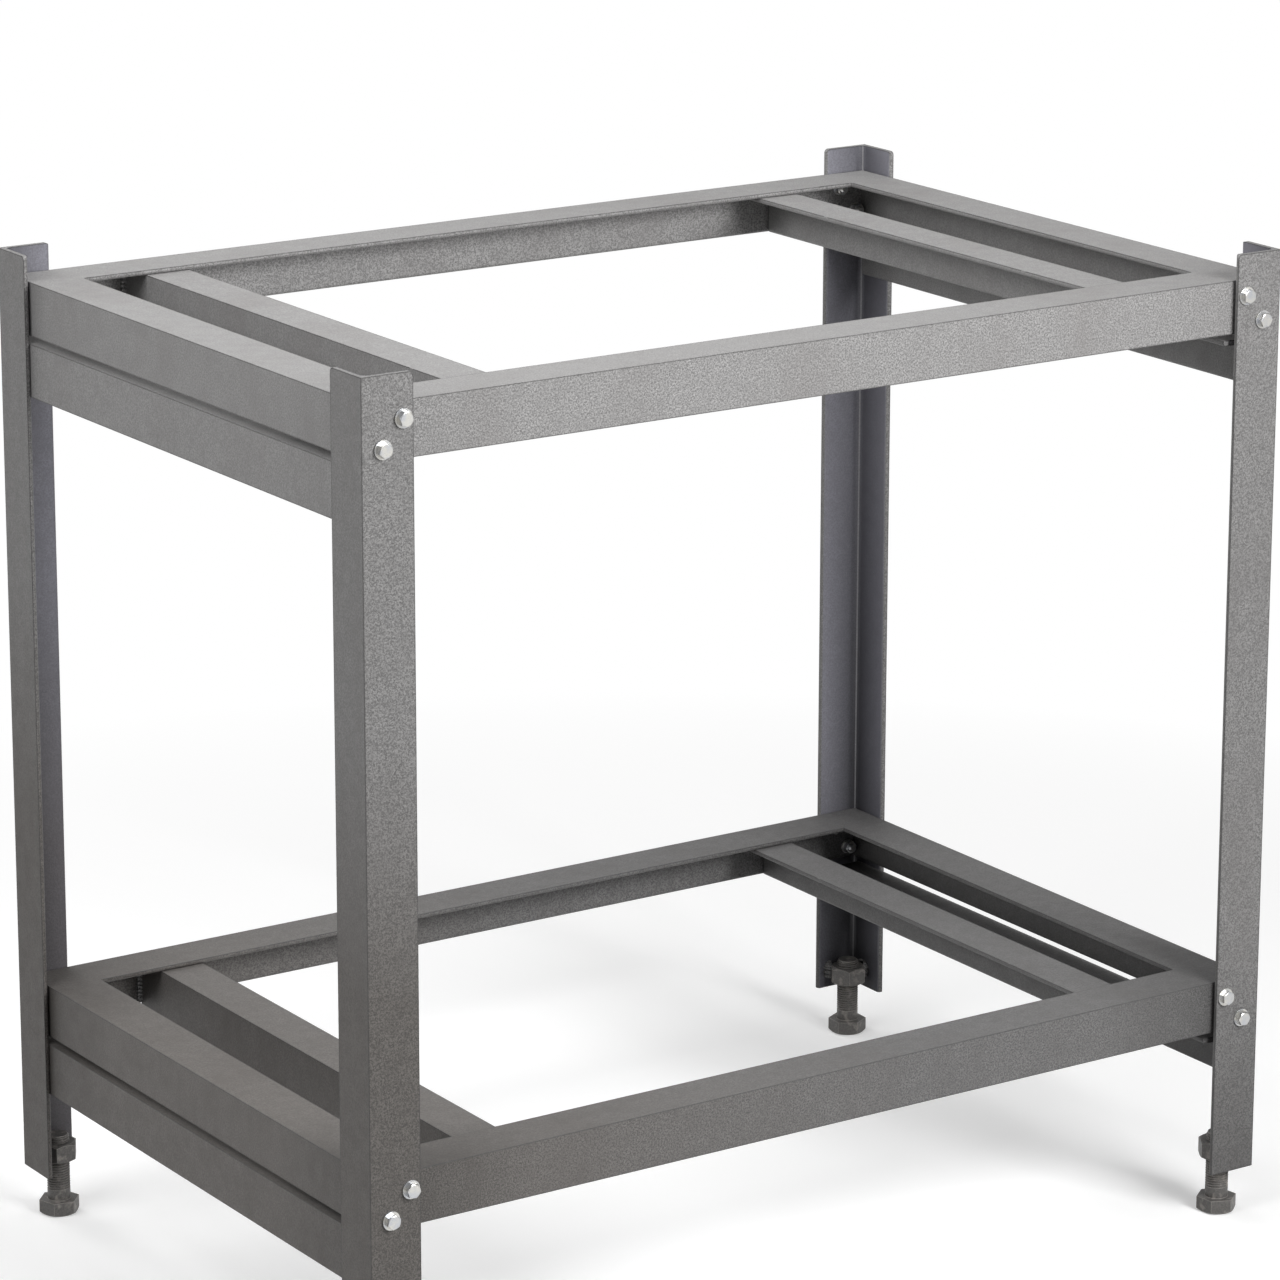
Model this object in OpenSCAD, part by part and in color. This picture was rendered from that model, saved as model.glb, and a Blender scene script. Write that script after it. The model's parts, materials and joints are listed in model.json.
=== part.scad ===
// Stand for a surface plate: four angle iron legs, two bolted shelf frames, screw feet.
// Origin on the floor under the middle of the stand. X runs along the length, the front faces -Y.

/* [Overall size] */
// Length over the outer faces of the legs
stand_l = 980; // [700:5:1400]
// Depth over the outer faces of the legs
stand_w = 650; // [450:5:1000]
// Length of each leg
leg_l = 894; // [700:1:1100]
// Height of the leg ends above the floor, with the feet as shown
foot_h = 46; // [40:1:56]

/* [Angle iron] */
// Flange width of the legs, rails and side beams
angle_w = 50; // [46:1:60]
// Flange thickness of all the angle iron
angle_t = 5; // [4:0.5:6]
// Inside radius of the legs and side beams
leg_root_r = 6; // [3:0.5:6]
// Inside radius of the rails and crossbars, small enough for the washers to sit flat
rail_root_r = 1; // [0.5:0.25:1.25]
// Rounding of the inner edge of each flange tip
toe_r = 3; // [1:0.5:3.5]
// Radius of the free corners at the top of each leg
tip_r = 4; // [1:0.5:8]

/* [Shelf frames] */
// Height that the leg tips stand above the upper frame
tip_h = 25; // [10:1:60]
// Height of the lower frame's top above the lower ends of the legs
lower_h = 192; // [172:1:500]
// Gap between a shelf frame's outer faces and the inner faces of the leg flanges
nest_gap = 2; // [1.9:0.1:3]
// Distance from the end of the stand to a crossbar's outer face
bar_inset = 123; // [70:1:250]
// Gap between a crossbar's end and the rail's upright flange
bar_end_gap = 1.5; // [1.3:0.1:4]

/* [Side beams] */
// Height of the slot between a side rail and the beam below it
beam_slot = 7; // [2:0.5:20]
// Gap between a side beam's end and the inner face of the leg's front or back flange
beam_end_gap = 7; // [6.5:0.5:15]

/* [Frame bolts] */
// Diameter of the frame bolts
bolt_d = 8; // [6:1:8]
// Diameter of the bolt holes in the legs and rails
hole_d = 9; // [8.5:0.1:10]
// Width across the flats of the bolt heads and nuts
bolt_af = 12; // [11:0.5:13]
// Height of a bolt head
bolt_head_h = 5.3; // [4:0.1:7]
// Height of a frame bolt's nut
bolt_nut_h = 6.5; // [5:0.1:8]
// Length of the bolt end that stands out of its nut
bolt_tail = 3.3; // [1:0.1:8]
// Outer diameter of the washers under the bolt heads
washer_d = 17; // [14:0.5:17]
// Outer diameter of the washers under the nuts, small enough to clear the frame's top flange
inner_washer_d = 15; // [14:0.5:15]
// Thickness of the washers
washer_t = 1.6; // [1:0.1:2]
// Radial gap between a frame bolt and its washers and nut
bolt_gap = 0.1; // [0.05:0.05:0.2]
// Distance from the leg's outer edge to the inner bolt of a pair
bolt_near_x = 20; // [20:0.5:24]
// Distance from the free edge of the leg's flange to the outer bolt of a pair
bolt_edge_x = 10; // [9:0.5:11]
// Distance from the top of a frame to the upper bolt
bolt_high_z = 13.7; // [13.7:0.1:20]
// Distance from the bottom of a frame to the lower bolt
bolt_low_z = 12; // [11:0.5:16]

/* [Levelling feet] */
// Full diameter of the levelling bolt, over its thread
screw_d = 22; // [18:1:24]
// Width across the flats of the levelling bolt's head and of the foot nut
screw_af = 34; // [30:1:36]
// Height of the levelling bolt's head
screw_head_h = 14; // [10:0.5:16]
// Length of the levelling bolt under its head
screw_l = 65; // [62:1:90]
// Height of the foot nut
foot_nut_h = 18; // [14:0.5:22]
// Height of the foot nut's lower face above the leg's lower end
foot_nut_lift = 8; // [2:0.5:16]
// Radial running gap between the levelling bolt and the foot nut
screw_gap = 0.08; // [0.02:0.01:0.1]

/* [Welds] */
// Leg length of the fillet welds on the frames and beams
weld_leg = 4; // [2:0.5:5]
// Leg length of the welds on the foot nuts
nut_weld_leg = 6.5; // [3:0.5:8]

/* [Hidden] */
// Overrun of every cut past the face that it goes through
cut = 1;
// Roundness of drawn circles
$fn = 48;
// Bevel of hex heads and nuts, as a share of the distance across the flats
bevel_share = 0.06;
// Slope of the bevel on hex heads and nuts
bevel_angle = 30;
// Bevel at the end of a screw, as a share of its diameter
end_bevel_share = 0.08;
// Share of the foot nut's height that its weld beads cover
nut_weld_share = 0.7;
// Turns of the hex heads and nuts, as they were left when tightened
head_turns = [[12, 41], [27, 3], [52, 18], [8, 35]];
foot_turns = [[14, 37], [48, 26.7]];
// Height of the leg tips and of the tops of the shelf frames above the floor
leg_top = foot_h + leg_l;
upper_top = leg_top - tip_h;
lower_top = foot_h + lower_h;
frame_tops = [upper_top, lower_top];
// Corners of the stand: side is -1 left or 1 right, end is -1 front or 1 back
corners = [[-1, -1], [1, -1], [-1, 1], [1, 1]];
// Inset of a frame's outer faces from the stand's outer faces, and the frame's own size
frame_inset = angle_t + nest_gap;
frame_l = stand_l - 2 * frame_inset;
frame_w = stand_w - 2 * frame_inset;
// Distances of the bolts from the leg's outer edge, paired with their heights below a frame's top
bolt_places = [[angle_w - bolt_edge_x, bolt_high_z], [bolt_near_x, angle_w - bolt_low_z]];
// Places of the faces along a frame bolt, measured inwards from the leg's outer face
rail_inner_y = frame_inset + angle_t;
nut_y = rail_inner_y + washer_t;
bolt_l = washer_t + nut_y + bolt_nut_h + bolt_tail;
// Centre of a foot nut, measured inwards from the leg's outer corner
foot_x = angle_t + screw_af / cos(30) / 2;
foot_y = angle_t + screw_af / 2;
foot_nut_z = foot_h + foot_nut_lift;
// Flange width of the crossbars, which end level with the rails that they lie under
bar_w = angle_w - angle_t;
// Lengths of the crossbars and side beams
bar_l = frame_w - 2 * angle_t - 2 * bar_end_gap;
beam_l = stand_w - 2 * angle_t - 2 * beam_end_gap;
beam_drop = angle_w + beam_slot;

// Puts a piece, drawn with its outer corner at the origin, into a corner of the stand.
// side is -1 left or 1 right, end is -1 front or 1 back; local X and Y point inwards.
module at_corner(side, end)
    translate([side * stand_l / 2, end * stand_w / 2, 0])
        mirror([side > 0 ? 1 : 0, 0, 0])
            mirror([0, end > 0 ? 1 : 0, 0])
                children();

// Repeats a piece in the four corners of the stand
module at_corners()
    for (corner = corners)
        at_corner(corner[0], corner[1]) children();

// What lies outside a quarter circle in its square: the cut that rounds a corner at the origin
module corner_cut(r)
    difference() {
        translate([-r, -r]) square(r + cut);
        translate([-r, -r]) circle(r);
    }

// Rolled angle section: outer corner at the origin, flanges along X and Y
module angle_section(w, root_r)
    difference() {
        union() {
            square([w, angle_t]);
            square([angle_t, w]);
            translate([angle_t, angle_t])
                difference() {
                    square(root_r);
                    translate([root_r, root_r]) circle(root_r);
                }
        }
        translate([w, angle_t]) corner_cut(toe_r);
        translate([angle_t, w]) corner_cut(toe_r);
    }

// Angle iron along X, centred: top face at Z = 0, upright flange's outer face at Y = 0
module bar_along_x(l, w, root_r)
    translate([-l / 2, 0, 0])
        rotate([90, 0, 90])
            linear_extrude(l) mirror([0, 1]) angle_section(w, root_r);

// Angle iron along Y, centred: top face at Z = 0, upright flange's outer face at X = 0
module bar_along_y(l, w, root_r)
    translate([0, l / 2, 0])
        rotate([90, 0, 0])
            linear_extrude(l) mirror([0, 1]) angle_section(w, root_r);

// Bolt holes of one corner at one frame, through a flange whose near face lies at Y = from
module bolt_holes(top, from)
    for (place = bolt_places)
        translate([place[0], from - cut, top - place[1]])
            rotate([-90, 0, 0]) cylinder(d = hole_d, h = angle_t + 2 * cut);

// Cut that rounds the free top corner of a leg flange lying along X
module tip_cut()
    translate([angle_w, angle_t + cut, leg_top])
        rotate([90, 0, 0])
            linear_extrude(angle_t + 2 * cut) corner_cut(tip_r);

module leg()
    color("#7d7f80")
        difference() {
            translate([0, 0, foot_h])
                linear_extrude(leg_l) angle_section(angle_w, leg_root_r);
            for (top = frame_tops) bolt_holes(top, 0);
            tip_cut();
            mirror([1, -1, 0]) tip_cut();
        }

// One rail of a shelf frame along X, mitred at both ends
module mitred_rail(l)
    intersection() {
        bar_along_x(l, angle_w, rail_root_r);
        translate([0, 0, -angle_w])
            linear_extrude(angle_w)
                polygon([[-l / 2, 0], [l / 2, 0], [l / 2 - angle_w, angle_w], [angle_w - l / 2, angle_w]]);
    }

// Long rail of a frame: end is -1 front or 1 back
module long_rail(top, end)
    color("#8b8d8e")
        difference() {
            mirror([0, end > 0 ? 1 : 0, 0])
                translate([0, -frame_w / 2, top]) mitred_rail(frame_l);
            for (side = [-1, 1])
                at_corner(side, end) bolt_holes(top, frame_inset);
        }

// Short rail of a frame: side is -1 left or 1 right
module short_rail(top, side)
    color("#8b8d8e")
        rotate([0, 0, side * 90])
            translate([0, -frame_l / 2, top]) mitred_rail(frame_w);

// Crossbar under the long rails, its flange towards the middle of the stand
module crossbar(top, side)
    color("#85878a")
        mirror([side > 0 ? 1 : 0, 0, 0])
            translate([bar_inset - stand_l / 2, 0, top - angle_t])
                bar_along_y(bar_l, bar_w, rail_root_r);

// Side beam between a front and a back leg, its flange towards the middle of the stand
module side_beam(top, side)
    color("#85878a")
        mirror([side > 0 ? 1 : 0, 0, 0])
            translate([angle_t - stand_l / 2, 0, top - beam_drop])
                bar_along_y(beam_l, angle_w, leg_root_r);

// Hexagonal prism with bevelled corners: flats face Y; lower and upper say which ends are bevelled
module hex_block(af, h, lower, upper) {
    corner_d = af / cos(30);
    face_d = af - af * bevel_share;
    cone_d = face_d + 2 * h / tan(bevel_angle);
    intersection() {
        cylinder(d = corner_d, h = h, $fn = 6);
        cylinder(d1 = lower ? face_d : cone_d, d2 = cone_d, h = h);
        cylinder(d1 = cone_d, d2 = upper ? face_d : cone_d, h = h);
    }
}

// Hex bolt, pointing up, with the underside of its head at Z = 0 and its point bevelled
module hex_bolt(d, l, af, head_h, turn) {
    bevel = d * end_bevel_share;
    translate([0, 0, -head_h]) rotate(turn) hex_block(af, head_h, true, false);
    translate([0, 0, -head_h / 2])
        intersection() {
            cylinder(d = d, h = l + head_h / 2);
            cylinder(d1 = d - 2 * bevel + 2 * (l + head_h / 2), d2 = d - 2 * bevel, h = l + head_h / 2);
        }
}

// Moves a piece, drawn along Z with Z = 0 on the leg's outer face, to bolt i of corner k
module at_bolt(top, i)
    translate([bolt_places[i][0], 0, top - bolt_places[i][1]])
        rotate([-90, 0, 0]) children();

module frame_bolts(top)
    color("#d5d8da")
        for (k = [0:3], i = [0:1])
            at_corner(corners[k][0], corners[k][1])
                at_bolt(top, i)
                    translate([0, 0, -washer_t])
                        hex_bolt(bolt_d, bolt_l, bolt_af, bolt_head_h, head_turns[k][i]);

// Washer with its lower face at Z = 0
module washer(d)
    difference() {
        cylinder(d = d, h = washer_t);
        translate([0, 0, -cut]) cylinder(d = bolt_d + 2 * bolt_gap, h = washer_t + 2 * cut);
    }

module frame_washers(top)
    color("#c9ccce")
        for (k = [0:3], i = [0:1])
            at_corner(corners[k][0], corners[k][1])
                at_bolt(top, i) {
                    translate([0, 0, -washer_t]) washer(washer_d);
                    translate([0, 0, rail_inner_y]) washer(inner_washer_d);
                }

module frame_nuts(top)
    color("#d5d8da")
        for (k = [0:3], i = [0:1])
            at_corner(corners[k][0], corners[k][1])
                at_bolt(top, i)
                    translate([0, 0, nut_y])
                        difference() {
                            rotate(head_turns[k][1 - i]) hex_block(bolt_af, bolt_nut_h, false, true);
                            translate([0, 0, -cut])
                                cylinder(d = bolt_d + 2 * bolt_gap, h = bolt_nut_h + 2 * cut);
                        }

// Outer shape of a foot nut, in its corner
module foot_nut_block()
    translate([foot_x, foot_y, foot_nut_z]) hex_block(screw_af, foot_nut_h, true, true);

module foot_nut()
    color("#6d6f70")
        difference() {
            foot_nut_block();
            translate([foot_x, foot_y, foot_nut_z - cut])
                cylinder(d = screw_d + 2 * screw_gap, h = foot_nut_h + 2 * cut);
        }

module levelling_bolt(turn)
    color("#5c5e60")
        translate([foot_x, foot_y, screw_head_h])
            hex_bolt(screw_d, screw_l, screw_af, screw_head_h, turn);

// Wedge of weld at a point where a flange meets a nut: its two legs lie in the directions along and away
module weld_wedge(from, leg, along, away)
    translate([0, 0, foot_nut_z + foot_nut_h * (1 - nut_weld_share) / 2])
        linear_extrude(foot_nut_h * nut_weld_share)
            polygon([from, from + leg * along, from + leg * away]);

// Weld beads that hold a foot nut to both flanges of its leg
module foot_nut_weld() {
    half_flat = screw_af * tan(30) / 2;
    root_side_leg = min(nut_weld_leg, foot_x - half_flat - angle_t - leg_root_r);
    weld_wedge([foot_x - half_flat, angle_t], root_side_leg, [-1, 0], [-cos(60), sin(60)]);
    weld_wedge([foot_x + half_flat, angle_t], nut_weld_leg, [1, 0], [cos(60), sin(60)]);
    weld_wedge([angle_t, foot_y], nut_weld_leg, [0, 1], [cos(60), sin(60)]);
    weld_wedge([angle_t, foot_y], nut_weld_leg, [0, -1], [cos(60), -sin(60)]);
}

module foot_nut_welds()
    color("#626465") at_corners() foot_nut_weld();

// Upright fillet weld, its two legs along X and Y from the origin
module fillet(h)
    linear_extrude(h)
        difference() {
            square(weld_leg);
            translate([weld_leg, weld_leg]) circle(weld_leg);
        }

// Fillet welds between the beams' ends and the side flanges of the legs
module beam_welds()
    color("#626465")
        at_corners()
            for (top = frame_tops)
                difference() {
                    translate([angle_t, angle_t + beam_end_gap, top - beam_drop - angle_w + toe_r])
                        mirror([0, 1, 0]) fillet(angle_w - toe_r);
                    translate([0, 0, top - beam_drop - angle_w - cut])
                        linear_extrude(angle_w + 2 * cut) angle_section(angle_w, leg_root_r);
                }

// Fillet welds between the crossbars' outer faces and the upright flanges of the long rails
module crossbar_welds()
    color("#626465")
        at_corners()
            for (top = frame_tops)
                translate([bar_inset, rail_inner_y, top - angle_t - bar_w + toe_r])
                    mirror([1, 0, 0]) fillet(bar_w - toe_r - rail_root_r);

at_corner(-1, -1) leg();  // leg_front_left
at_corner(1, -1) leg();  // leg_front_right
at_corner(-1, 1) leg();  // leg_back_left
at_corner(1, 1) leg();  // leg_back_right
long_rail(upper_top, -1);  // upper_front_rail
long_rail(upper_top, 1);  // upper_back_rail
short_rail(upper_top, -1);  // upper_left_rail
short_rail(upper_top, 1);  // upper_right_rail
crossbar(upper_top, -1);  // upper_left_crossbar
crossbar(upper_top, 1);  // upper_right_crossbar
long_rail(lower_top, -1);  // lower_front_rail
long_rail(lower_top, 1);  // lower_back_rail
short_rail(lower_top, -1);  // lower_left_rail
short_rail(lower_top, 1);  // lower_right_rail
crossbar(lower_top, -1);  // lower_left_crossbar
crossbar(lower_top, 1);  // lower_right_crossbar
side_beam(upper_top, -1);  // upper_left_beam
side_beam(upper_top, 1);  // upper_right_beam
side_beam(lower_top, -1);  // lower_left_beam
side_beam(lower_top, 1);  // lower_right_beam
frame_bolts(upper_top);  // upper_bolts
frame_washers(upper_top);  // upper_washers
frame_nuts(upper_top);  // upper_nuts
frame_bolts(lower_top);  // lower_bolts
frame_washers(lower_top);  // lower_washers
frame_nuts(lower_top);  // lower_nuts
at_corner(-1, -1) foot_nut();  // foot_nut_front_left
at_corner(1, -1) foot_nut();  // foot_nut_front_right
at_corner(-1, 1) foot_nut();  // foot_nut_back_left
at_corner(1, 1) foot_nut();  // foot_nut_back_right
at_corner(-1, -1) levelling_bolt(foot_turns[0][0]);  // levelling_bolt_front_left
at_corner(1, -1) levelling_bolt(foot_turns[0][1]);  // levelling_bolt_front_right
at_corner(-1, 1) levelling_bolt(foot_turns[1][0]);  // levelling_bolt_back_left
at_corner(1, 1) levelling_bolt(foot_turns[1][1]);  // levelling_bolt_back_right
foot_nut_welds();
beam_welds();
crossbar_welds();
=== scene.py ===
"""Visual model of the surface plate stand.

Adds paint, zinc, threads, weld beads, floor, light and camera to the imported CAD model.
"""
import json
import math
import bpy
from mathutils import Matrix, Vector


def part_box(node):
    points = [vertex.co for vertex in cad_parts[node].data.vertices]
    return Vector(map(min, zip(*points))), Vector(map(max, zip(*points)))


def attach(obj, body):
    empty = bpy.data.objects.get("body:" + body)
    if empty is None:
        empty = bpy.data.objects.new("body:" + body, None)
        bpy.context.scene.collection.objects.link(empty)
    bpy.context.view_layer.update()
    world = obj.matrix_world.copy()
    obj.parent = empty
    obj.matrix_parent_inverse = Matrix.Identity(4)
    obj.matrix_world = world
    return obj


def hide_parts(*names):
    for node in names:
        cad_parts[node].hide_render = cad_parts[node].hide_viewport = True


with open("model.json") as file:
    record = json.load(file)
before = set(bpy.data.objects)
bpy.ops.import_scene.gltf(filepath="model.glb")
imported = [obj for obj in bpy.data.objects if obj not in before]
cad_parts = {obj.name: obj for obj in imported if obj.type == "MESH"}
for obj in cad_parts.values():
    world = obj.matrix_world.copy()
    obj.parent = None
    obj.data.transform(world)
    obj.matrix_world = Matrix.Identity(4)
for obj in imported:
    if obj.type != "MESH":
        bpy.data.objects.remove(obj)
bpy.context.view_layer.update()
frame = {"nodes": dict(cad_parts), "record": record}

MM = 0.001
STAND = "stand"
CORNERS = {"front_left": (-1, -1), "front_right": (1, -1),
           "back_left": (-1, 1), "back_right": (1, 1)}

# Frame bolts, as in the part's source
BOLT_D = 8 * MM
BOLT_AF = 12 * MM
BOLT_HEAD_H = 5.3 * MM
BOLT_L = 25 * MM
BOLT_PITCH = 1.25 * MM
BOLT_THREAD_L = 9 * MM
WASHER_T = 1.6 * MM
BOLT_NUT_H = 6.5 * MM
BOLT_GAP = 0.1 * MM
BOLT_X = (40 * MM, 20 * MM)
BOLT_DROP = (13.7 * MM, 38 * MM)
# Turn of each bolt's head in degrees, two for each corner
HEAD_TURNS = ((12, 41), (27, 3), (52, 18), (8, 35))

# Levelling bolts
FOOT_D = 22 * MM
FOOT_AF = 34 * MM
FOOT_HEAD_H = 14 * MM
FOOT_L = 65 * MM
FOOT_PITCH = 2.5 * MM
FOOT_PLAIN_L = 10 * MM
FOOT_TURNS = (14, 37, 48, 26.7)

# Weld beads between the foot nuts and the legs. Each row has the root of a groove, measured inwards
# from a leg's outer corner, the bead's size, and the groove's two directions in degrees
FLANGE_T = 5 * MM
HALF_FLAT = FOOT_AF / 2 * math.tan(math.radians(30))
FOOT_X = FLANGE_T + FOOT_AF / 2 / math.cos(math.radians(30))
FOOT_Y = FLANGE_T + FOOT_AF / 2
SMALL_BEAD, WIDE_BEAD = 3.8 * MM, 9 * MM
BEADS = (
    ((FOOT_X - HALF_FLAT, FLANGE_T), SMALL_BEAD, 184, 116),
    ((FOOT_X + HALF_FLAT, FLANGE_T), WIDE_BEAD, -4, 64),
    ((FLANGE_T, FOOT_Y), WIDE_BEAD, 94, 56),
    ((FLANGE_T, FOOT_Y), WIDE_BEAD, -94, -56),
)
# Lower and upper end of a bead, as shares of the nut's height
BEAD_LOW_SHARE, BEAD_HIGH_SHARE = 0.08, 1.15
# Length of a bead's ripples, and their height as a share of its size
BEAD_RIPPLE, BEAD_RIPPLE_SHARE = 1.9 * MM, 0.07
# Slower swell over them: its length in ripples, its height, and its shift per metre along X
BEAD_SWELL_LENGTH, BEAD_SWELL_SHARE, BEAD_SWELL_SHIFT = 2.7, 0.10, 900
# Least size at a bead's ends, as a share
BEAD_END_SHARE = 0.35
BEAD_SIDES, BEAD_STEPS = 7, 32

# Share of the pitch at which each point of a thread's profile lies, and how high it stands there
THREAD_PROFILE = ((0.0, 0.0), (0.14, 0.0), (0.5, 1.0), (0.64, 1.0))
THREAD_DEPTH_SHARE = 0.56
# Slant of a hexagon's turned corners, and how far they reach inside its flats, as a share
CHAMFER_ANGLE = math.radians(30)
CHAMFER_SHARE = 0.06
BORE_MOUTH_SHARE = 0.05
# Steps round a hexagonal block and round a threaded rod
HEX_STEPS, ROD_STEPS = 72, 36
# Points of a thread that agree in this many decimals of a metre count as one
SAME_POINT_DIGITS = 7
# Faces that meet at more than this angle keep a crisp edge between them
SHARP_ANGLE = math.radians(20)


# Shapes: lists of points and faces, joined into meshes

class Shape:
    """Points and faces that several pieces can be added to."""

    def __init__(self):
        self.points = []
        self.faces = []

    def add(self, points, faces, matrix=Matrix.Identity(4)):
        start = len(self.points)
        step = -1 if matrix.determinant() < 0 else 1
        self.points += [matrix @ Vector(p) for p in points]
        self.faces += [[start + i for i in f][::step] for f in faces]

    def mesh(self, name):
        mesh = bpy.data.meshes.new(name)
        mesh.from_pydata(self.points, [], self.faces)
        mesh.validate()
        mesh.polygons.foreach_set("use_smooth", [True] * len(mesh.polygons))
        mesh.set_sharp_from_angle(angle=SHARP_ANGLE)
        return mesh


def rings(columns, closed=True):
    """Joins columns of points, each from the lower to the upper end, into a skin with end caps."""
    points = [p for column in columns for p in column]
    rows = len(columns[0])
    faces = []
    for i in range(len(columns)):
        a = i * rows
        b = (i + 1) % len(columns) * rows
        for k in range(rows - 1):
            faces.append([a + k, b + k, b + k + 1, a + k + 1])
    if closed:
        faces.append([i * rows for i in reversed(range(len(columns)))])
        faces.append([i * rows + rows - 1 for i in range(len(columns))])
    return points, faces


def hex_radius(af, angle):
    """Distance from the middle of a hexagon to its edge; a corner lies at angle 0."""
    third = math.pi / 3
    return af / 2 / math.cos((angle % third) - third / 2)


def hex_columns(af, h, bore_d, chamfer_high):
    """Columns of a hexagonal block, with its corners turned off and a bore if it has one."""
    columns = []
    face_r = af / 2 * (1 - CHAMFER_SHARE)
    bore_r = bore_d / 2
    for i in range(HEX_STEPS):
        a = 2 * math.pi * i / HEX_STEPS
        r = hex_radius(af, a)
        drop = (r - face_r) * math.tan(CHAMFER_ANGLE)
        high = drop if chamfer_high else 0.0
        high_r = face_r if chamfer_high else r
        section = [(face_r, 0.0), (r, drop), (r, h - high), (high_r, h)]
        if bore_d:
            mouth = BORE_MOUTH_SHARE * bore_d
            section = [(bore_r + mouth, 0.0)] + section
            section += [(bore_r + mouth, h), (bore_r, h - mouth), (bore_r, mouth)]
        columns.append([(q * math.cos(a), q * math.sin(a), z) for q, z in section])
    return columns


def hex_block(af, h, bore_d=0.0, chamfer_high=True):
    """Points and faces of a hexagonal block along Z, with its lower end at 0."""
    columns = hex_columns(af, h, bore_d, chamfer_high)
    points, faces = rings(columns, closed=not bore_d)
    if bore_d:
        rows = len(columns[0])
        for i in range(len(columns)):
            a = i * rows
            b = (i + 1) % len(columns) * rows
            faces.append([a + rows - 1, b + rows - 1, b, a])
    return points, faces


def threaded_rod(d, low, high, thread_low, pitch):
    """Rod from low to high: plain up to thread_low, then a right-hand thread and a bevelled end."""
    depth = THREAD_DEPTH_SHARE * pitch
    top_r = d / 2 - depth
    turns = math.ceil((high - thread_low) / pitch) + 2
    columns = []
    for i in range(ROD_STEPS):
        a = 2 * math.pi * i / ROD_STEPS
        lift = pitch * i / ROD_STEPS
        column = [(d / 2, low), (d / 2, thread_low)]
        plain_rows = len(column)
        for turn in range(-1, turns):
            for share, height in THREAD_PROFILE:
                z = thread_low + lift + (turn + share) * pitch
                r = top_r + height * depth
                # the thread runs out towards the plain part, and the rod's end is bevelled
                r = max(r, d / 2 - max(0.0, z - thread_low))
                r = min(r, top_r + max(0.0, high - z))
                column.append((r, min(max(z, thread_low), high)))
        column.append((top_r, high))
        columns.append([(r * math.cos(a), r * math.sin(a), z) for r, z in column])
    rows = len(columns[0])
    profile = len(THREAD_PROFILE)
    points = [p for column in columns for p in column]
    faces = []
    for i in range(ROD_STEPS):
        last = i == ROD_STEPS - 1
        a = i * rows
        b = (i + 1) % ROD_STEPS * rows
        for k in range(rows - 1):
            if last:
                # the last column meets the first one a whole turn higher up
                m = k if k < plain_rows else min(k + profile, rows - 1)
                n = k + 1 if k + 1 < plain_rows else min(k + 1 + profile, rows - 1)
            else:
                m, n = k, k + 1
            face = [a + k, b + m, b + n, a + k + 1]
            # where the thread runs out, faces that shrink to a line are left out
            if len({tuple(round(c, SAME_POINT_DIGITS) for c in points[j]) for j in face}) > 2:
                faces.append(face)
    faces.append([i * rows for i in reversed(range(ROD_STEPS))])
    faces.append([i * rows + rows - 1 for i in range(ROD_STEPS)])
    return points, faces


def add_bolt(shape, matrix, d, length, af, head_h, turn, plain_l, pitch):
    """Hex bolt that points along the matrix's Z, with the underside of its head at the origin."""
    spin = Matrix.Rotation(math.radians(turn), 4, "Z")
    head = Matrix.Translation((0, 0, -head_h)) @ spin
    shape.add(*hex_block(af, head_h, chamfer_high=False), matrix @ head)
    shape.add(*threaded_rod(d, -head_h / 2, length, plain_l, pitch), matrix)


def weld_bead(place, size, from_angle, to_angle, low, high):
    """Rounded, rippled bead of weld along Z, in the groove between two directions from a place."""
    columns = [[] for _ in range(BEAD_SIDES + 2)]
    for k in range(BEAD_STEPS + 1):
        along = k / BEAD_STEPS
        z = low + (high - low) * along
        # the bead keeps its size along the middle and closes in a round towards both ends
        swell = max(BEAD_END_SHARE, (1 - (2 * along - 1) ** 4) ** 0.5)
        wave = 2 * math.pi * z / BEAD_RIPPLE
        swell_wave = wave / BEAD_SWELL_LENGTH + BEAD_SWELL_SHIFT * place[0]
        ripple = 1 + BEAD_RIPPLE_SHARE * math.sin(wave) + BEAD_SWELL_SHARE * math.sin(swell_wave)
        columns[0].append((*place, z))
        for j, column in enumerate(columns[1:]):
            a = math.radians(from_angle + (to_angle - from_angle) * j / BEAD_SIDES)
            r = size * swell * ripple
            column.append((place[0] + r * math.cos(a), place[1] + r * math.sin(a), z))
    return rings(columns if to_angle > from_angle else columns[::-1])


def piece(shape, name, body, slot, material, *nodes):
    """Makes an object of a shape, rides it on its body and lets it stand for CAD nodes."""
    obj = bpy.data.objects.new(name, shape.mesh(name))
    bpy.context.scene.collection.objects.link(obj)
    obj.data.materials.append(material)
    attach(obj, body)
    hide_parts(*nodes)


# Materials

# Cosine between the softened and the flat normal: where an edge begins, and at its middle
EDGE_BEND = (0.998, 0.95)
# Part of a face's normal along an axis: where the face begins to count, and where it counts fully
FACING = (0.3, 0.9)
# How round the cells of a texture of cells are
CELL_SMOOTHNESS = 0.6
# Sockets of a Mix node that mixes colours
MIX_FACTOR, MIX_A, MIX_B, MIX_RESULT = 0, 6, 7, 2


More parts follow.
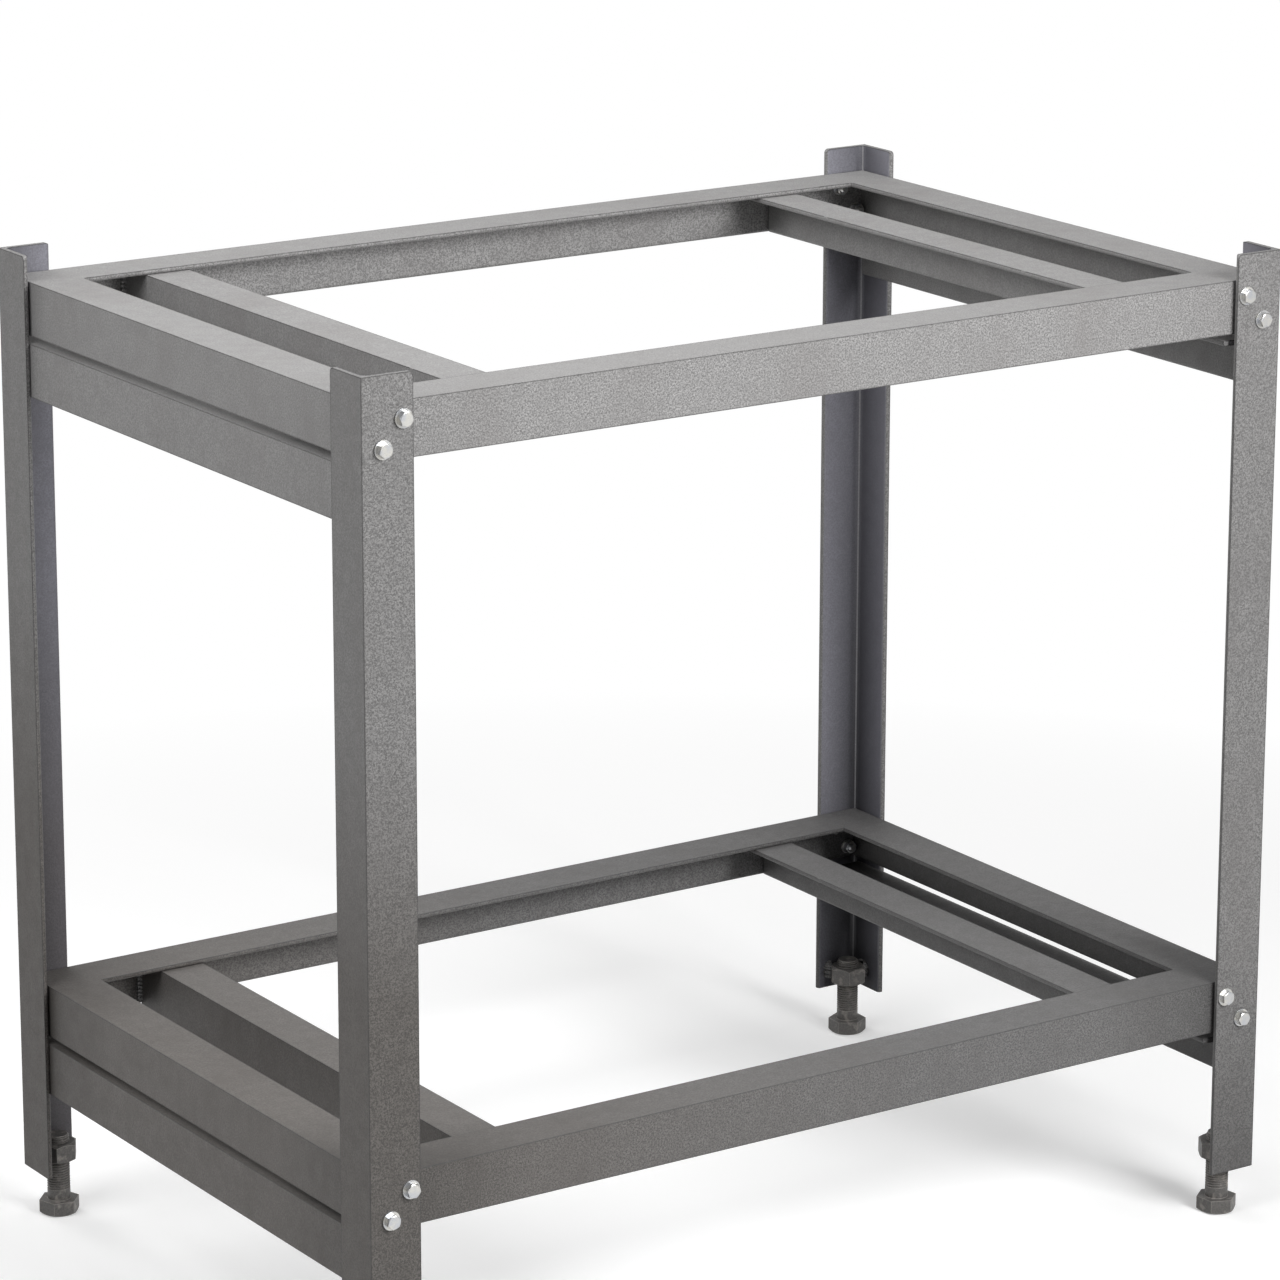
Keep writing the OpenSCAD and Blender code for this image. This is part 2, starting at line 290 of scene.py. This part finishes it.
class Nodes:
    """Short ways to build a node tree on one material."""

    def __init__(self, name):
        self.material = bpy.data.materials.new(name)
        self.material.use_nodes = True
        self.tree = self.material.node_tree
        self.shader = self.tree.nodes["Principled BSDF"]
        self.place = self.add("ShaderNodeTexCoord").outputs["Object"]

    def add(self, kind, inputs=None, **settings):
        node = self.tree.nodes.new(kind)
        for key, value in settings.items():
            setattr(node, key, value)
        for key, value in (inputs or {}).items():
            self.put(node.inputs[key], value)
        return node

    def put(self, socket, value):
        if isinstance(value, bpy.types.NodeSocket):
            self.tree.links.new(value, socket)
        else:
            socket.default_value = value

    def noise(self, size, detail=2.0, roughness=0.5, stretch=(1, 1, 1), distortion=0.0):
        """Noise whose blotches are about size metres across."""
        mapping = self.add("ShaderNodeMapping", {"Vector": self.place, "Scale": stretch})
        node = self.add("ShaderNodeTexNoise", {
            "Vector": mapping.outputs["Vector"], "Scale": 1 / size, "Detail": detail,
            "Roughness": roughness, "Distortion": distortion})
        return node.outputs["Fac"]

    def cells(self, size):
        """Rounded cells about size metres across: low in their middles, high between them."""
        node = self.add("ShaderNodeTexVoronoi", {
            "Vector": self.place, "Scale": 1 / size, "Smoothness": CELL_SMOOTHNESS},
            feature="SMOOTH_F1")
        return node.outputs["Distance"]

    def between(self, value, low, high, to_low=0.0, to_high=1.0):
        """Maps a value from one range to another, and holds it there."""
        node = self.add("ShaderNodeMapRange", {
            "Value": value, "From Min": low, "From Max": high, "To Min": to_low, "To Max": to_high})
        node.clamp = True
        return node.outputs["Result"]

    def mix(self, factor, a, b, blend="MIX"):
        node = self.add("ShaderNodeMix", data_type="RGBA", blend_type=blend)
        self.put(node.inputs[MIX_FACTOR], factor)
        self.put(node.inputs[MIX_A], (*a, 1) if isinstance(a, tuple) else a)
        self.put(node.inputs[MIX_B], (*b, 1) if isinstance(b, tuple) else b)
        return node.outputs[MIX_RESULT]

    def math(self, operation, a, b):
        node = self.add("ShaderNodeMath", operation=operation)
        self.put(node.inputs[0], a)
        self.put(node.inputs[1], b)
        return node.outputs[0]

    def bump(self, height, distance, strength, normal=None):
        node = self.add("ShaderNodeBump", {
            "Height": height, "Distance": distance, "Strength": strength})
        if normal is not None:
            self.put(node.inputs["Normal"], normal)
        return node.outputs["Normal"]

    def soft_edges(self, radius, samples=4):
        return self.add("ShaderNodeBevel", {"Radius": radius}, samples=samples).outputs["Normal"]

    def edges(self, radius):
        """1 within the radius of a sharp edge, 0 on the flat faces."""
        flat = self.add("ShaderNodeNewGeometry").outputs["Normal"]
        soft = self.soft_edges(radius, samples=6)
        both = self.add("ShaderNodeVectorMath", {0: flat, 1: soft}, operation="DOT_PRODUCT")
        return self.between(both.outputs["Value"], *EDGE_BEND)

    def inwards(self, corner):
        """Distances inwards from the nearest corner, along X and along Y, in metres."""
        return [self.math("SUBTRACT", edge, self.math("ABSOLUTE", self.along(axis), 0.0))
                for edge, axis in zip(corner, "XY")]

    def faces_along(self, axis):
        """1 on faces that look along an axis or against it, 0 on faces square to those."""
        normal = self.add("ShaderNodeTexCoord").outputs["Normal"]
        part = self.add("ShaderNodeSeparateXYZ", {"Vector": normal}).outputs[axis]
        return self.between(self.math("ABSOLUTE", part, 0.0), *FACING)

    def along(self, axis):
        """Distance along an axis from the stand's origin, in metres."""
        return self.add("ShaderNodeSeparateXYZ", {"Vector": self.place}).outputs[axis]


def grey(level):
    return (level, level, level)


def shade(tint, share):
    return tuple(c * share for c in tint)


# Outer corners of the legs and of the shelf frames, measured from the middle of the stand
LEG_CORNER = (abs(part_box("leg_front_left")[0].x), abs(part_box("leg_front_left")[0].y))
FRAME_CORNER = (abs(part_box("upper_left_rail")[0].x), abs(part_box("upper_front_rail")[0].y))

# Painted shade low down: full below the first height, none above the second; the lean lifts it at
# the left
LEG_LOW_SHADE = (0.33, 0.56, 0.35)
FRAME_LOW_SHADE = (0.42, 0.78, 0.10)
LOW_SHADE_RAGGED = 0.2
# Colour of the painted shade, as a share of the paint's colour: warm at the left and plain
# elsewhere
LOW_SHADE_WARM = (0.52, 0.49, 0.46)
LOW_SHADE_PLAIN = (0.56, 0.56, 0.56)
LOW_SHADE_WARM_X = (-0.45, 0.10)
# Least share of the hammer grain, on the faces that don't look to the front or back
QUIET_GRAIN = 0.45

# Inside a leg the grain is smoother, painted shade makes the paint cooler and darker towards the
# root and low down, and a painted highlight makes the root pale
ROOT_HIGHLIGHT_W, ROOT_HIGHLIGHT_FADE = 2.6 * MM, 0.6 * MM
ROOT_HIGHLIGHT_SHARE = (1.15, 1.15, 1.22)
ROOT_SHADE_REACH = (2 * MM, 40 * MM)
ROOT_SHADE_Z = (0.20, 0.60)
ROOT_SHADE_SHARE = (0.14, 0.50)
INSIDE_SHADE_SHARE = (0.96, 0.97, 1.12)
INSIDE_GRAIN = 0.35
# Depth from a leg's outer faces at which its inside begins
INSIDE_FROM = (FLANGE_T - 1 * MM, FLANGE_T - 0.3 * MM)

# Painted shade on the frames: darker beside the legs, more so on the lower frame
BESIDE_SHADE_REACH = (0.04, 0.17)
BESIDE_SHADE_Z = (0.30, 0.85)
BESIDE_SHADE_SHARE = (0.62, 0.92)
# The mitres are ground flush, so no dark edge shows within these distances of them
MITRE_CLEAR = (2.2 * MM, 3.5 * MM)


def shade_inside_leg(n):
    """Painted shade and highlight as a colour share, share of the grain and share of the dark edges
    for a leg's paint.
    """
    across, deep = n.inwards(LEG_CORNER)
    inside = n.between(n.math("MINIMUM", across, deep), *INSIDE_FROM)
    out = n.math("SUBTRACT", n.math("MAXIMUM", across, deep), FLANGE_T)
    # painted shade: darker and cooler towards the root, more so low down
    root = n.between(n.along("Z"), *ROOT_SHADE_Z, *ROOT_SHADE_SHARE)
    share = n.between(out, *ROOT_SHADE_REACH, root, 1.0)
    share = n.mix(1.0, INSIDE_SHADE_SHARE, share, "MULTIPLY")
    # painted highlight: a pale line along the root of the angle
    beyond_highlight = n.between(out, ROOT_HIGHLIGHT_W - ROOT_HIGHLIGHT_FADE, ROOT_HIGHLIGHT_W)
    share = n.mix(beyond_highlight, ROOT_HIGHLIGHT_SHARE, share)
    grain = n.between(inside, 0.0, 1.0, 1.0, INSIDE_GRAIN)
    return n.mix(inside, grey(1.0), share), grain, 1.0


def shade_at_frame_ends(n):
    """Painted shade as a colour share, share of the grain and share of the dark edges for a frame's
    paint.
    """
    across, deep = n.inwards(FRAME_CORNER)
    away = n.math("ADD", n.math("MULTIPLY", across, across), n.math("MULTIPLY", deep, deep))
    away = n.math("SQRT", away, 0.0)
    # painted shade: darker beside the legs, more so low down
    beside = n.between(n.along("Z"), *BESIDE_SHADE_Z, *BESIDE_SHADE_SHARE)
    share = n.between(away, *BESIDE_SHADE_REACH, beside, 1.0)
    mitre = n.math("ABSOLUTE", n.math("SUBTRACT", across, deep), 0.0)
    # mixed with white, the share becomes a colour
    return n.mix(1.0, grey(1.0), share, "MULTIPLY"), 1.0, n.between(mitre, *MITRE_CLEAR)


# Hammered paint: sizes of its grain, dimples, blotches and stains
GRAIN_SIZE, DIMPLE_SIZE, BLOTCH_SIZE, STAIN_SIZE = 1.5 * MM, 2.6 * MM, 14 * MM, 80 * MM
# Range of the noise between the grain's dark and its light, and both as shares of the tint
GRAIN_RANGE, GRAIN_SHARES = (0.40, 0.60), (0.62, 1.38)
BLOTCH_RANGE, BLOTCH_SHARE, BLOTCH_MOST = (0.40, 0.66), 0.86, 0.30
STAIN_RANGE, STAIN_SHARES, STAIN_MOST = (0.48, 0.72), (0.76, 0.73, 0.72), 0.40
# Less change along Z draws the stains out downwards
STAIN_STRETCH = (1, 1, 0.35)
# Dark lines along edges: width, strength, and colour as a share of the tint
EDGE_LINE_W, EDGE_LINE_MOST, EDGE_LINE_SHARE = 2.0 * MM, 0.9, 0.25
EDGE_ROUND = 0.6 * MM
PAINT_ROUGHNESS = (0.50, 0.58)
PAINT_METALLIC = 0.12
DIMPLE_DEPTH, DIMPLE_STRENGTH = 0.5 * MM, 0.6
GRAIN_DEPTH, GRAIN_STRENGTH = 0.45 * MM, 0.7
# Middle part of a noise, which carries nearly all of its values
MIDDLE_RANGE = (0.3, 0.7)


def hammered_paint(name, tint, low_shade, local_look):
    """Grey hammered paint on angle iron: grain, dimples, faint stains, dark, soft edges, and
    painted shade and highlight.
    """
    n = Nodes(name)
    local_shade_share, local_grain, local_edges = local_look(n)
    grain = n.noise(GRAIN_SIZE, roughness=0.6, distortion=0.5)
    blotch = n.noise(BLOTCH_SIZE)
    stain = n.noise(STAIN_SIZE, detail=4.0, roughness=0.6, stretch=STAIN_STRETCH)
    relief = n.between(n.faces_along("Y"), 0.0, 1.0, QUIET_GRAIN, 1.0)
    relief = n.math("MULTIPLY", relief, local_grain)
    speckle = n.math("MULTIPLY", n.between(grain, *GRAIN_RANGE, -0.5, 0.5), relief)
    dark_grain, light_grain = [shade(tint, share) for share in GRAIN_SHARES]
    color = n.mix(n.math("ADD", speckle, 0.5), dark_grain, light_grain)
    blotches = n.between(blotch, *BLOTCH_RANGE, 0.0, BLOTCH_MOST)
    color = n.mix(blotches, color, shade(tint, BLOTCH_SHARE))
    stain_tint = tuple(c * share for c, share in zip(tint, STAIN_SHARES))
    paint = n.mix(n.between(stain, *STAIN_RANGE, 0.0, STAIN_MOST), color, stain_tint)
    # Painted shade: darker towards the bottom and towards the left, and warmer at the left
    shade_full_below, shade_none_above, lean = low_shade
    level = n.math("ADD", n.along("Z"), n.math("MULTIPLY", n.along("X"), lean))
    level = n.math("ADD", level, n.math("MULTIPLY", stain, LOW_SHADE_RAGGED))
    low_shade_tint = n.mix(n.between(n.along("X"), *LOW_SHADE_WARM_X), LOW_SHADE_WARM, LOW_SHADE_PLAIN)
    color = n.mix(n.between(level, shade_full_below, shade_none_above), low_shade_tint, grey(1.0))
    color = n.mix(1.0, paint, color, "MULTIPLY")
    # local painted shade, and on the legs a painted highlight along the root
    color = n.mix(1.0, color, local_shade_share, "MULTIPLY")
    dark = n.math("MULTIPLY", n.edges(EDGE_LINE_W), EDGE_LINE_MOST)
    color = n.mix(n.math("MULTIPLY", dark, local_edges), color, shade(tint, EDGE_LINE_SHARE))
    n.put(n.shader.inputs["Base Color"], color)
    n.put(n.shader.inputs["Roughness"], n.between(blotch, *MIDDLE_RANGE, *PAINT_ROUGHNESS))
    n.shader.inputs["Metallic"].default_value = PAINT_METALLIC
    dimples = n.cells(DIMPLE_SIZE)
    normal = n.soft_edges(EDGE_ROUND)
    normal = n.bump(dimples, DIMPLE_DEPTH, n.math("MULTIPLY", relief, DIMPLE_STRENGTH), normal)
    normal = n.bump(grain, GRAIN_DEPTH, n.math("MULTIPLY", relief, GRAIN_STRENGTH), normal)
    n.put(n.shader.inputs["Normal"], normal)
    return n.material


# Dark paint of the feet: two tones of the paint, the worn spots and the worn edges
FOOT_DARK, FOOT_LIGHT = (0.098, 0.094, 0.090), (0.150, 0.143, 0.136)
FOOT_WORN, FOOT_BARE = (0.34, 0.315, 0.29), (0.40, 0.375, 0.35)
FOOT_GRAIN_SIZE, FOOT_GRAIN_RANGE = 1.6 * MM, (0.35, 0.65)
FOOT_PATCH_SIZE, FOOT_PATCH_RANGE, FOOT_PATCH_MOST = 9 * MM, (0.56, 0.68), 0.65
FOOT_EDGE_W, FOOT_EDGE_MOST = 1.2 * MM, 0.5
FOOT_ROUGHNESS, FOOT_METALLIC = (0.38, 0.55), 0.3
FOOT_GRAIN_DEPTH, FOOT_GRAIN_STRENGTH = 0.15 * MM, 0.3
FOOT_ROUND = 0.5 * MM


def foot_paint():
    """Dark paint on the levelling bolts and their nuts, worn in small spots and on the edges."""
    n = Nodes("foot_paint")
    fine = n.noise(FOOT_GRAIN_SIZE, detail=3.0, roughness=0.6)
    patch = n.noise(FOOT_PATCH_SIZE, detail=3.0)
    color = n.mix(n.between(fine, *FOOT_GRAIN_RANGE), FOOT_DARK, FOOT_LIGHT)
    spots = n.between(patch, *FOOT_PATCH_RANGE, 0.0, FOOT_PATCH_MOST)
    color = n.mix(spots, color, FOOT_WORN)
    rubbed = n.math("MULTIPLY", n.edges(FOOT_EDGE_W), FOOT_EDGE_MOST)
    color = n.mix(rubbed, color, FOOT_BARE)
    n.put(n.shader.inputs["Base Color"], color)
    n.put(n.shader.inputs["Roughness"], n.between(patch, *MIDDLE_RANGE, *FOOT_ROUGHNESS))
    n.shader.inputs["Metallic"].default_value = FOOT_METALLIC
    normal = n.bump(fine, FOOT_GRAIN_DEPTH, FOOT_GRAIN_STRENGTH, n.soft_edges(FOOT_ROUND))
    n.put(n.shader.inputs["Normal"], normal)
    return n.material


# Zinc: the two ends of its bloom, and a fine grain
ZINC_COOL, ZINC_WARM = (0.48, 0.49, 0.51), (0.57, 0.56, 0.53)
ZINC_BLOOM_SIZE, ZINC_BLOOM_RANGE = 7 * MM, (0.38, 0.62)
ZINC_ROUGHNESS, ZINC_METALLIC = (0.26, 0.40), 0.9
ZINC_GRAIN_SIZE, ZINC_GRAIN_DEPTH, ZINC_GRAIN_STRENGTH = 0.6 * MM, 0.05 * MM, 0.2
ZINC_ROUND = 0.3 * MM


def zinc_plate():
    """Bright zinc on bolts, nuts and washers, with a faint warm and cool bloom."""
    n = Nodes("zinc_plate")
    bloom = n.noise(ZINC_BLOOM_SIZE, detail=3.0)
    fine = n.noise(ZINC_GRAIN_SIZE)
    color = n.mix(n.between(bloom, *ZINC_BLOOM_RANGE), ZINC_COOL, ZINC_WARM)
    n.put(n.shader.inputs["Base Color"], color)
    n.put(n.shader.inputs["Roughness"], n.between(fine, *MIDDLE_RANGE, *ZINC_ROUGHNESS))
    n.shader.inputs["Metallic"].default_value = ZINC_METALLIC
    normal = n.bump(fine, ZINC_GRAIN_DEPTH, ZINC_GRAIN_STRENGTH, n.soft_edges(ZINC_ROUND))
    n.put(n.shader.inputs["Normal"], normal)
    return n.material


# Paint over weld: its grain, and ripples about 3.9 mm apart, as a scale of the wave texture
WELD_GRAIN_SIZE, WELD_GRAIN_RANGE, WELD_GRAIN_SHARES = 1.5 * MM, (0.38, 0.62), (0.4, 1.2)
WELD_GRAIN_DEPTH, WELD_GRAIN_STRENGTH = 0.3 * MM, 0.4
WELD_WAVE, WELD_WAVE_DISTORTION = 80, 1.5
WELD_WAVE_DEPTH, WELD_WAVE_STRENGTH = 0.8 * MM, 0.7
WELD_ROUGHNESS, WELD_METALLIC = (0.32, 0.55), 0.15
WELD_ROUND = 0.8 * MM


def weld_paint(name, tint):
    """The frame's paint over a rippled weld bead."""
    n = Nodes(name)
    fine = n.noise(WELD_GRAIN_SIZE, detail=3.0)
    wave = n.add("ShaderNodeTexWave", {
        "Vector": n.place, "Scale": WELD_WAVE, "Distortion": WELD_WAVE_DISTORTION, "Detail": 1.0},
        bands_direction="Z").outputs["Fac"]
    dark, light = [shade(tint, share) for share in WELD_GRAIN_SHARES]
    n.put(n.shader.inputs["Base Color"], n.mix(n.between(fine, *WELD_GRAIN_RANGE), dark, light))
    n.put(n.shader.inputs["Roughness"], n.between(fine, *MIDDLE_RANGE, *WELD_ROUGHNESS))
    n.shader.inputs["Metallic"].default_value = WELD_METALLIC
    normal = n.bump(wave, WELD_WAVE_DEPTH, WELD_WAVE_STRENGTH, n.soft_edges(WELD_ROUND))
    normal = n.bump(fine, WELD_GRAIN_DEPTH, WELD_GRAIN_STRENGTH, normal)
    n.put(n.shader.inputs["Normal"], normal)
    return n.material


LEG_TINT = (0.205, 0.201, 0.199)
FRAME_TINT = (0.280, 0.275, 0.273)
FOOT_WELD_TINT = (0.16, 0.157, 0.154)
leg_paint = hammered_paint("leg_paint", LEG_TINT, LEG_LOW_SHADE, shade_inside_leg)
frame_paint = hammered_paint("frame_paint", FRAME_TINT, FRAME_LOW_SHADE, shade_at_frame_ends)
zinc = zinc_plate()
foot = foot_paint()
frame_weld = weld_paint("frame_weld", FRAME_TINT)
foot_weld = weld_paint("foot_weld", FOOT_WELD_TINT)

NODE_PAINT = {"leg_paint": leg_paint, "frame_paint": frame_paint, "foot_paint": foot, "zinc": zinc}
WELD_PAINT = {"foot_nut_welds": foot_weld, "beam_welds": frame_weld, "crossbar_welds": frame_weld}
SLOTS = {part["node"]: part["material_slot"] for part in frame["record"]["subparts"]}
for part, paint_slot in SLOTS.items():
    for holder in frame["nodes"][part].material_slots:
        holder.material = WELD_PAINT.get(part, NODE_PAINT[paint_slot])


# Fasteners and weld beads

# Depth of a rail's inner face behind the leg's outer face
RAIL_INNER = LEG_CORNER[1] - FRAME_CORNER[1] + FLANGE_T


def corner_matrix(corner):
    """Turns local X and Y, which point inwards from a corner of the stand, into the stand's own."""
    side, end = CORNERS[corner]
    place = Matrix.Translation((side * LEG_CORNER[0], end * LEG_CORNER[1], 0))
    return place @ Matrix.Diagonal((-side, -end, 1, 1))


def unmirrored(matrix):
    """Takes the mirroring out of a corner's matrix, so that threads stay right-handed."""
    return matrix @ Matrix.Diagonal((-1, 1, 1, 1)) if matrix.determinant() < 0 else matrix


def frame_fasteners(height_name):
    """Bolts and nuts of one shelf frame, two for each leg."""
    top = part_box(height_name + "_front_rail")[1].z
    inwards = Matrix.Rotation(math.radians(-90), 4, "X")
    bolts, nuts = Shape(), Shape()
    for turns, corner in zip(HEAD_TURNS, CORNERS):
        for i in (0, 1):
            spot = Matrix.Translation((BOLT_X[i], 0, top - BOLT_DROP[i]))
            matrix = unmirrored(corner_matrix(corner) @ spot @ inwards)
            head = matrix @ Matrix.Translation((0, 0, -WASHER_T))
            add_bolt(bolts, head, BOLT_D, BOLT_L, BOLT_AF, BOLT_HEAD_H, turns[i],
                     BOLT_L - BOLT_THREAD_L, BOLT_PITCH)
            nut = Matrix.Translation((0, 0, RAIL_INNER + WASHER_T))
            spin = Matrix.Rotation(math.radians(turns[1 - i]), 4, "Z")
            nuts.add(*hex_block(BOLT_AF, BOLT_NUT_H, BOLT_D + 2 * BOLT_GAP), matrix @ nut @ spin)
    piece(bolts, height_name + "_frame_bolts", STAND, "zinc", zinc, height_name + "_bolts")
    piece(nuts, height_name + "_frame_nuts", STAND, "zinc", zinc, height_name + "_nuts")


def levelling_bolt(corner, turn):
    """Threaded levelling bolt of one corner, on its own body."""
    low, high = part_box("foot_nut_" + corner)
    middle = (low + high) / 2
    shape = Shape()
    spot = Matrix.Translation((middle.x, middle.y, FOOT_HEAD_H))
    add_bolt(shape, spot, FOOT_D, FOOT_L, FOOT_AF, FOOT_HEAD_H, turn, FOOT_PLAIN_L, FOOT_PITCH)
    piece(shape, "foot_screw_" + corner, "foot_" + corner, "foot_paint", foot,
          "levelling_bolt_" + corner)


def foot_nut_beads():
    """Weld beads between all foot nuts and their legs, as one piece."""
    shape = Shape()
    for corner in CORNERS:
        low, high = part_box("foot_nut_" + corner)
        nut_h = high.z - low.z
        bottom, top = low.z + BEAD_LOW_SHARE * nut_h, low.z + BEAD_HIGH_SHARE * nut_h
        for place, size, from_angle, to_angle in BEADS:
            bead = weld_bead(place, size, from_angle, to_angle, bottom, top)
            shape.add(*bead, corner_matrix(corner))
    piece(shape, "foot_nut_beads", STAND, SLOTS["foot_nut_welds"], foot_weld, "foot_nut_welds")


frame_fasteners("upper")
frame_fasteners("lower")
for foot_turn, foot_corner in zip(FOOT_TURNS, CORNERS):
    levelling_bolt(foot_corner, foot_turn)
foot_nut_beads()


# Floor, light and camera

FLOOR_SIZE = 60.0
FLOOR_DROP = 0.2 * MM
# Grey that lights the stand from below, and the paler grey and glow that the camera sees
FLOOR_BOUNCE = 0.20
FLOOR_LOOK, FLOOR_CLOUD, FLOOR_CLOUD_SIZE = 0.80, 0.01, 0.5
FLOOR_GLOW = 0.30
# Between these distances from the stand the floor fades into a plain white background
FADE_FROM, FADE_TO = 0.7, 1.8


def pale_floor():
    """Plain pale floor that keeps the shadow and fades into the white background."""
    n = Nodes("pale_floor")
    path = n.add("ShaderNodeLightPath").outputs
    seen = n.math("MAXIMUM", path["Is Camera Ray"], path["Is Glossy Ray"])
    seen = n.math("MAXIMUM", seen, path["Is Transmission Ray"])
    away = n.add("ShaderNodeVectorMath", {0: n.place}, operation="LENGTH").outputs["Value"]
    cloud = n.noise(FLOOR_CLOUD_SIZE)
    look = n.mix(cloud, grey(FLOOR_LOOK - FLOOR_CLOUD), grey(FLOOR_LOOK + FLOOR_CLOUD))
    look = n.mix(n.between(away, FADE_FROM, FADE_TO), look, grey(0.0))
    n.put(n.shader.inputs["Base Color"], n.mix(seen, grey(FLOOR_BOUNCE), look))
    n.shader.inputs["Roughness"].default_value = 1.0
    n.shader.inputs["Specular IOR Level"].default_value = 0.0
    n.shader.inputs["Emission Color"].default_value = (1, 1, 1, 1)
    glow = n.between(away, FADE_FROM, FADE_TO, FLOOR_GLOW, 1.0)
    n.put(n.shader.inputs["Emission Strength"], n.math("MULTIPLY", seen, glow))
    return n.material


bpy.ops.mesh.primitive_plane_add(size=FLOOR_SIZE, location=(0, 0, -FLOOR_DROP))
floor = bpy.context.object
floor.name = "floor"
floor.data.materials.append(pale_floor())

# The world is white for the camera, dimmer in gloss, and only a faint light on the object
AMBIENT = 0.06
SHEEN = 0.4


def white_world():
    """White background for the camera, with an even light of its own strength for other rays."""
    world = bpy.data.worlds.new("studio")
    world.use_nodes = True
    tree = world.node_tree
    back = tree.nodes["Background"]
    back.inputs["Color"].default_value = (1, 1, 1, 1)
    path = tree.nodes.new("ShaderNodeLightPath").outputs
    seen = tree.nodes.new("ShaderNodeMath")
    seen.operation = "MAXIMUM"
    tree.links.new(path["Is Camera Ray"], seen.inputs[0])
    tree.links.new(path["Is Transmission Ray"], seen.inputs[1])
    mirrored = tree.nodes.new("ShaderNodeMath")
    mirrored.operation = "MULTIPLY_ADD"
    mirrored.inputs[1].default_value = SHEEN
    tree.links.new(path["Is Glossy Ray"], mirrored.inputs[0])
    tree.links.new(seen.outputs[0], mirrored.inputs[2])
    strength = tree.nodes.new("ShaderNodeMapRange")
    strength.inputs["To Min"].default_value = AMBIENT
    strength.inputs["To Max"].default_value = 1.0
    tree.links.new(mirrored.outputs[0], strength.inputs["Value"])
    tree.links.new(strength.outputs["Result"], back.inputs["Strength"])
    return world


bpy.context.scene.world = white_world()


# Middle of the stand, which all lamps point at
MIDDLE = Vector((0, 0, 0.5))
# Lamps: name, place and size in metres, and power in watts
LAMPS = (
    ("key", (0.6, -2.5, 1.8), 1.2, 78),
    ("top", (-0.1, 0.1, 2.1), 1.4, 17),
    ("fill", (-2.2, -0.3, 2.2), 1.4, 33),
    ("back", (-0.6, 2.6, 1.9), 1.4, 24),
)


def lamp(name, place, size, power):
    """Square white lamp that the camera doesn't see."""
    data = bpy.data.lights.new(name, "AREA")
    data.shape = "SQUARE"
    data.size = size
    data.energy = power
    obj = bpy.data.objects.new(name, data)
    bpy.context.scene.collection.objects.link(obj)
    obj.location = place
    obj.visible_camera = False
    obj.rotation_euler = (MIDDLE - Vector(place)).to_track_quat("-Z", "Y").to_euler()


for lamp_values in LAMPS:
    lamp(*lamp_values)

# Camera, from the photograph's edges: size of the picture and focal length in pixels, and its place
FRAME_PX = 1280
FOCAL_PX = 5305.5
SENSOR = 36.0
LENS_SHIFT = -0.08
CAMERA_AT = (-2.6449, -3.9762, 1.8935)
CAMERA_AZIMUTH = math.radians(33.639)
CAMERA_PITCH = math.radians(14.411)
CAMERA_ROLL = math.radians(-0.094)
CLIP_END = 200.0

camera = bpy.data.objects.new("camera", bpy.data.cameras.new("camera"))
bpy.context.scene.collection.objects.link(camera)
bpy.context.scene.camera = camera
camera.data.sensor_width = SENSOR
camera.data.lens = SENSOR * FOCAL_PX / FRAME_PX
camera.data.shift_y = LENS_SHIFT
camera.data.clip_end = CLIP_END
camera.location = CAMERA_AT
camera.rotation_mode = "QUATERNION"
level_turn = Matrix.Rotation(-CAMERA_AZIMUTH, 3, "Z")
tilt = Matrix.Rotation(math.pi / 2 - CAMERA_PITCH, 3, "X")
roll = Matrix.Rotation(-CAMERA_ROLL, 3, "Z")
camera.rotation_quaternion = (level_turn @ tilt @ roll).to_quaternion()

bpy.context.scene.view_settings.view_transform = "Standard"
